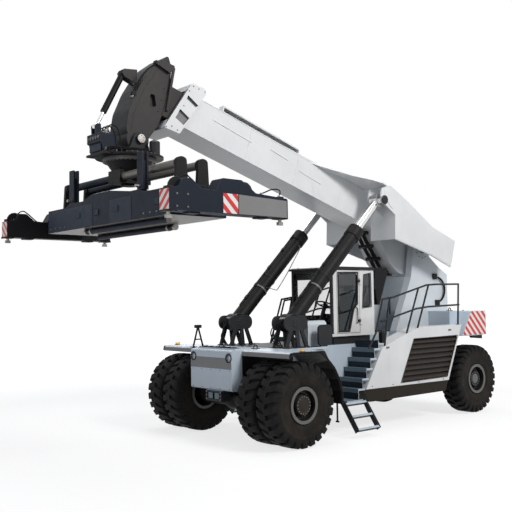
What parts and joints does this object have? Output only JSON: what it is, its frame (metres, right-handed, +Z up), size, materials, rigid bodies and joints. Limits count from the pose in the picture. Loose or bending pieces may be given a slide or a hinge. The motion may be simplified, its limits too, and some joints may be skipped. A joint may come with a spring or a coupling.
{
  "type": "reach stacker",
  "caption": "Wheeled container handler: raised telescopic boom with a turning, extending spreader, central cab, twin front wheels and steered rear wheels.",
  "frame": {"origin": "middle of the machine's overall box, on the ground", "axes": "+X to the machine's left, +Y to its rear, +Z up; the boom and spreader point to -Y"},
  "size_m": [6.113, 10.6794, 7.486],
  "materials": {
    "body_blue": "satin",
    "dark_grey": "satin",
    "engine_paint": "satin",
    "black_metal": "satin",
    "cover_white": "satin",
    "sill_brown": "satin",
    "tower_blue": "satin",
    "cab_white": "satin",
    "glass": "clear",
    "seat_fabric": "matte",
    "trim_plastic": "matte",
    "lens": "clear",
    "tyre": "matte",
    "rim_grey": "satin",
    "boom_white": "satin",
    "gooseneck_grey": "satin",
    "chrome": "polished",
    "navy": "satin",
    "steel": "brushed"
  },
  "bodies": {
    "chassis": {"chassis_frame": "body_blue", "transmission": "dark_grey", "engine": "engine_paint", "deck": "dark_grey", "front_axle": "black_metal", "steer_axle": "black_metal", "mudguards": "body_blue", "side_covers": "cover_white", "side_sills": "sill_brown", "stairs": "body_blue", "counterweight": "body_blue", "boom_towers": "tower_blue", "cylinder_brackets": "dark_grey", "cab_shell": "cab_white", "cab_roof": "dark_grey", "cab_glass": "glass", "seat": "seat_fabric", "steering_wheel": "trim_plastic", "handrails": "dark_grey", "air_box": "black_metal", "deck_tank": "tower_blue", "ladders": "dark_grey", "lamps": "lens", "mirror": "dark_grey"},
    "front_wheels_left": {"front_tyres_left": "tyre", "front_rim_left": "rim_grey"},
    "front_wheels_right": {"front_tyres_right": "tyre", "front_rim_right": "rim_grey"},
    "knuckle_left": {"steer_knuckle_left": "black_metal"},
    "knuckle_right": {"steer_knuckle_right": "black_metal"},
    "rear_wheel_left": {"rear_tyre_left": "tyre", "rear_rim_left": "rim_grey"},
    "rear_wheel_right": {"rear_tyre_right": "tyre", "rear_rim_right": "rim_grey"},
    "cab_door": {"cab_door": "trim_plastic", "door_glass": "glass"},
    "hood": {"engine_hood": "body_blue"},
    "boom": {"boom_tube": "boom_white", "boom_wings": "boom_white", "boom_collar": "boom_white"},
    "inner_boom": {"inner_boom": "boom_white", "gooseneck": "gooseneck_grey"},
    "lift_barrel_left": {"lift_barrel_left": "black_metal"},
    "lift_barrel_right": {"lift_barrel_right": "black_metal"},
    "lift_rod_left": {"lift_rod_left": "chrome"},
    "lift_rod_right": {"lift_rod_right": "chrome"},
    "damper_barrel": {"damper_barrel": "black_metal"},
    "damper_rod": {"damper_rod": "chrome"},
    "head": {"hanger": "black_metal", "valve_block": "black_metal"},
    "rotator": {"rotator": "black_metal"},
    "spreader": {"spreader_frame": "navy", "guide_tubes": "steel", "posts": "navy", "extend_cylinders": "steel"},
    "end_left": {"end_beam_left": "navy", "twistlocks_left": "steel"},
    "end_right": {"end_beam_right": "navy", "twistlocks_right": "steel"}
  },
  "joints": [
    {"name": "front_wheel_spin_left", "type": "hinge", "parent": "chassis", "child": "front_wheels_left", "pos_m": [1.81, -1.66025, 0.81], "axis": [1, 0, 0], "continuous": true},
    {"name": "steer_left", "type": "hinge", "parent": "chassis", "child": "knuckle_left", "pos_m": [1.08, 4.52975, 0.81], "axis": [0, 0, 1], "range_deg": [-45, 45]},
    {"name": "rear_wheel_spin_left", "type": "hinge", "parent": "knuckle_left", "child": "rear_wheel_left", "pos_m": [1.4, 4.52975, 0.81], "axis": [1, 0, 0], "continuous": true},
    {"name": "front_wheel_spin_right", "type": "hinge", "parent": "chassis", "child": "front_wheels_right", "pos_m": [-1.81, -1.66025, 0.81], "axis": [1, 0, 0], "continuous": true},
    {"name": "steer_right", "type": "hinge", "parent": "chassis", "child": "knuckle_right", "pos_m": [-1.08, 4.52975, 0.81], "axis": [0, 0, 1], "range_deg": [-45, 45]},
    {"name": "rear_wheel_spin_right", "type": "hinge", "parent": "knuckle_right", "child": "rear_wheel_right", "pos_m": [-1.4, 4.52975, 0.81], "axis": [1, 0, 0], "continuous": true},
    {"name": "cab_door", "type": "hinge", "parent": "chassis", "child": "cab_door", "pos_m": [0.658, 1.48975, 2.7], "axis": [0, 0, 1], "range_deg": [0, 100]},
    {"name": "hood", "type": "hinge", "parent": "chassis", "child": "hood", "pos_m": [0, 3.35475, 1.8151], "axis": [-1, 0, 0], "range_deg": [0, 45]},
    {"name": "boom_lift", "type": "hinge", "parent": "chassis", "child": "boom", "pos_m": [0, 3.83975, 4], "axis": [1, 0, 0], "range_deg": [-42.8, 17.2]},
    {"name": "boom_telescope", "type": "slide", "parent": "boom", "child": "inner_boom", "axis": [0, -0.9553, 0.2957], "range_m": [0, 5.5]},
    {"name": "lift_cylinder_left", "type": "hinge", "parent": "chassis", "child": "lift_barrel_left", "pos_m": [0.88, -0.91025, 2.3], "axis": [1, 0, 0], "range_deg": [-1.19, 2.21]},
    {"name": "lift_rod_left", "type": "slide", "parent": "lift_barrel_left", "child": "lift_rod_left", "axis": [0, 0.7185, 0.6955], "range_m": [-0.641, 1.564]},
    {"name": "lift_cylinder_right", "type": "hinge", "parent": "chassis", "child": "lift_barrel_right", "pos_m": [-0.88, -0.91025, 2.3], "axis": [1, 0, 0], "range_deg": [-1.19, 2.21]},
    {"name": "lift_rod_right", "type": "slide", "parent": "lift_barrel_right", "child": "lift_rod_right", "axis": [0, 0.7185, 0.6955], "range_m": [-0.641, 1.564]},
    {"name": "head_level", "type": "hinge", "parent": "inner_boom", "child": "head", "pos_m": [0, -4.14025, 5.79], "axis": [1, 0, 0], "range_deg": [-17.5, 43.1]},
    {"name": "damper_swing", "type": "hinge", "parent": "inner_boom", "child": "damper_barrel", "pos_m": [0, -4.28025, 7.08], "axis": [1, 0, 0], "range_deg": [-3.94, 9.06]},
    {"name": "damper_slide", "type": "slide", "parent": "damper_barrel", "child": "damper_rod", "axis": [0, -0.4634, -0.8861], "range_m": [-0.223, 0.526]},
    {"name": "rotator", "type": "hinge", "parent": "head", "child": "rotator", "pos_m": [0, -4.14025, 5.3], "axis": [0, 0, 1], "range_deg": [-185, 95]},
    {"name": "side_shift", "type": "slide", "parent": "rotator", "child": "spreader", "axis": [1, 0, 0], "range_m": [-0.8, 0.8]},
    {"name": "extend_left", "type": "slide", "parent": "spreader", "child": "end_left", "axis": [1, 0, 0], "range_m": [0, 3.066]},
    {"name": "extend_right", "type": "slide", "parent": "spreader", "child": "end_right", "axis": [-1, 0, 0], "range_m": [0, 3.066]}
  ],
  "couplings": [
    {"joint": "steer_right", "follows": "steer_left", "ratio": 1},
    {"joint": "head_level", "follows": "boom_lift", "ratio": -1},
    {"joint": "extend_right", "follows": "extend_left", "ratio": 1},
    {"joint": "damper_swing", "follows": "boom_lift", "ratio": -0.2},
    {"joint": "damper_slide", "follows": "boom_lift", "m_per_rad": -0.6768},
    {"joint": "lift_cylinder_left", "follows": "boom_lift", "ratio": -0.04},
    {"joint": "lift_rod_left", "follows": "boom_lift", "m_per_rad": -2.0672},
    {"joint": "lift_cylinder_right", "follows": "boom_lift", "ratio": -0.04},
    {"joint": "lift_rod_right", "follows": "boom_lift", "m_per_rad": -2.0672}
  ]
}
